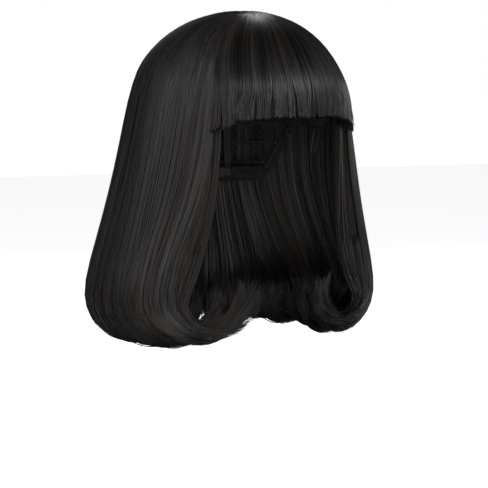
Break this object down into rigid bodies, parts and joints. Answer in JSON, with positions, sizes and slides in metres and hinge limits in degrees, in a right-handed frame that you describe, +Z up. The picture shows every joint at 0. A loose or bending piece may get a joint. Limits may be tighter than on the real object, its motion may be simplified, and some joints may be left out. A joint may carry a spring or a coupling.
{
  "type": "costume wig",
  "caption": "Straight dark wig with a blunt full fringe and hair that curls under at the collar, on a wefted net cap with ear tabs and nape straps.",
  "frame": {"origin": "middle of the wearer's head at the hat-band line, inside the cap", "axes": "+Z up to the crown; -Y out of the face; +X to the wearer's left"},
  "size_m": [0.2998, 0.261, 0.319],
  "materials": {
    "hair": "glossy straight synthetic fibre",
    "weft": "stitched fibre",
    "net": "open stretch net",
    "patch": "fine woven",
    "band": "soft brushed",
    "elastic": "ribbed elastic",
    "hook_plastic": "moulded",
    "stay_steel": "wire"
  },
  "bodies": {
    "cap": {"cap_net": "net", "crown_patch": "patch", "front_band": "band", "ear_edge_left": "band", "ear_edge_right": "band", "nape_band": "band", "back_rib_left": "elastic", "back_rib_centre": "elastic", "back_rib_right": "elastic", "weft_crown_1": "weft", "weft_crown_2": "weft", "weft_fringe_1": "weft", "weft_fringe_2": "weft", "weft_side_left_1": "weft", "weft_side_left_2": "weft", "weft_side_right_1": "weft", "weft_side_right_2": "weft", "weft_back_1": "weft", "weft_back_2": "weft", "weft_back_3": "weft", "weft_back_4": "weft", "weft_back_5": "weft", "casing_left": "band", "casing_right": "band", "loop_strip_left": "elastic", "loop_strip_right": "elastic", "hair_crown": "hair"},
    "fringe": {"hair_fringe": "hair"},
    "side_left": {"hair_side_left": "hair"},
    "side_right": {"hair_side_right": "hair"},
    "back": {"hair_back": "hair"},
    "ear_tab_left": {"ear_tab_left": "band", "ear_stay_left": "stay_steel"},
    "ear_tab_right": {"ear_tab_right": "band", "ear_stay_right": "stay_steel"},
    "strap_left": {"strap_left": "elastic", "hook_left": "hook_plastic"},
    "strap_right": {"strap_right": "elastic", "hook_right": "hook_plastic"}
  },
  "joints": [
    {"name": "fringe_lift", "type": "hinge", "parent": "cap", "child": "fringe", "pos_m": [0, -0.088, 0.04], "axis": [-1, 0, 0], "range_deg": [0, 30]},
    {"name": "side_left_swing", "type": "hinge", "parent": "cap", "child": "side_left", "pos_m": [0.076, 0, 0.04], "axis": [0, -1, 0], "range_deg": [0, 30]},
    {"name": "side_right_swing", "type": "hinge", "parent": "cap", "child": "side_right", "pos_m": [-0.076, 0, 0.04], "axis": [0, 1, 0], "range_deg": [0, 30]},
    {"name": "back_lift", "type": "hinge", "parent": "cap", "child": "back", "pos_m": [0, 0.094, 0.04], "axis": [1, 0, 0], "range_deg": [0, 30]},
    {"name": "ear_tab_left_flex", "type": "hinge", "parent": "cap", "child": "ear_tab_left", "pos_m": [0.0767, -0.0171, -0.0086], "axis": [-0.1384, -0.9904, 0], "range_deg": [-10, 15]},
    {"name": "ear_tab_right_flex", "type": "hinge", "parent": "cap", "child": "ear_tab_right", "pos_m": [-0.0767, -0.0171, -0.0086], "axis": [-0.1384, 0.9904, 0], "range_deg": [-10, 15]},
    {"name": "strap_left_slide", "type": "hinge", "parent": "cap", "child": "strap_left", "pos_m": [0, 0.018, -0.055], "axis": [0, 0, -1], "range_deg": [-4, 14]},
    {"name": "strap_right_slide", "type": "hinge", "parent": "cap", "child": "strap_right", "pos_m": [0, 0.018, -0.055], "axis": [0, 0, 1], "range_deg": [-4, 14]}
  ]
}
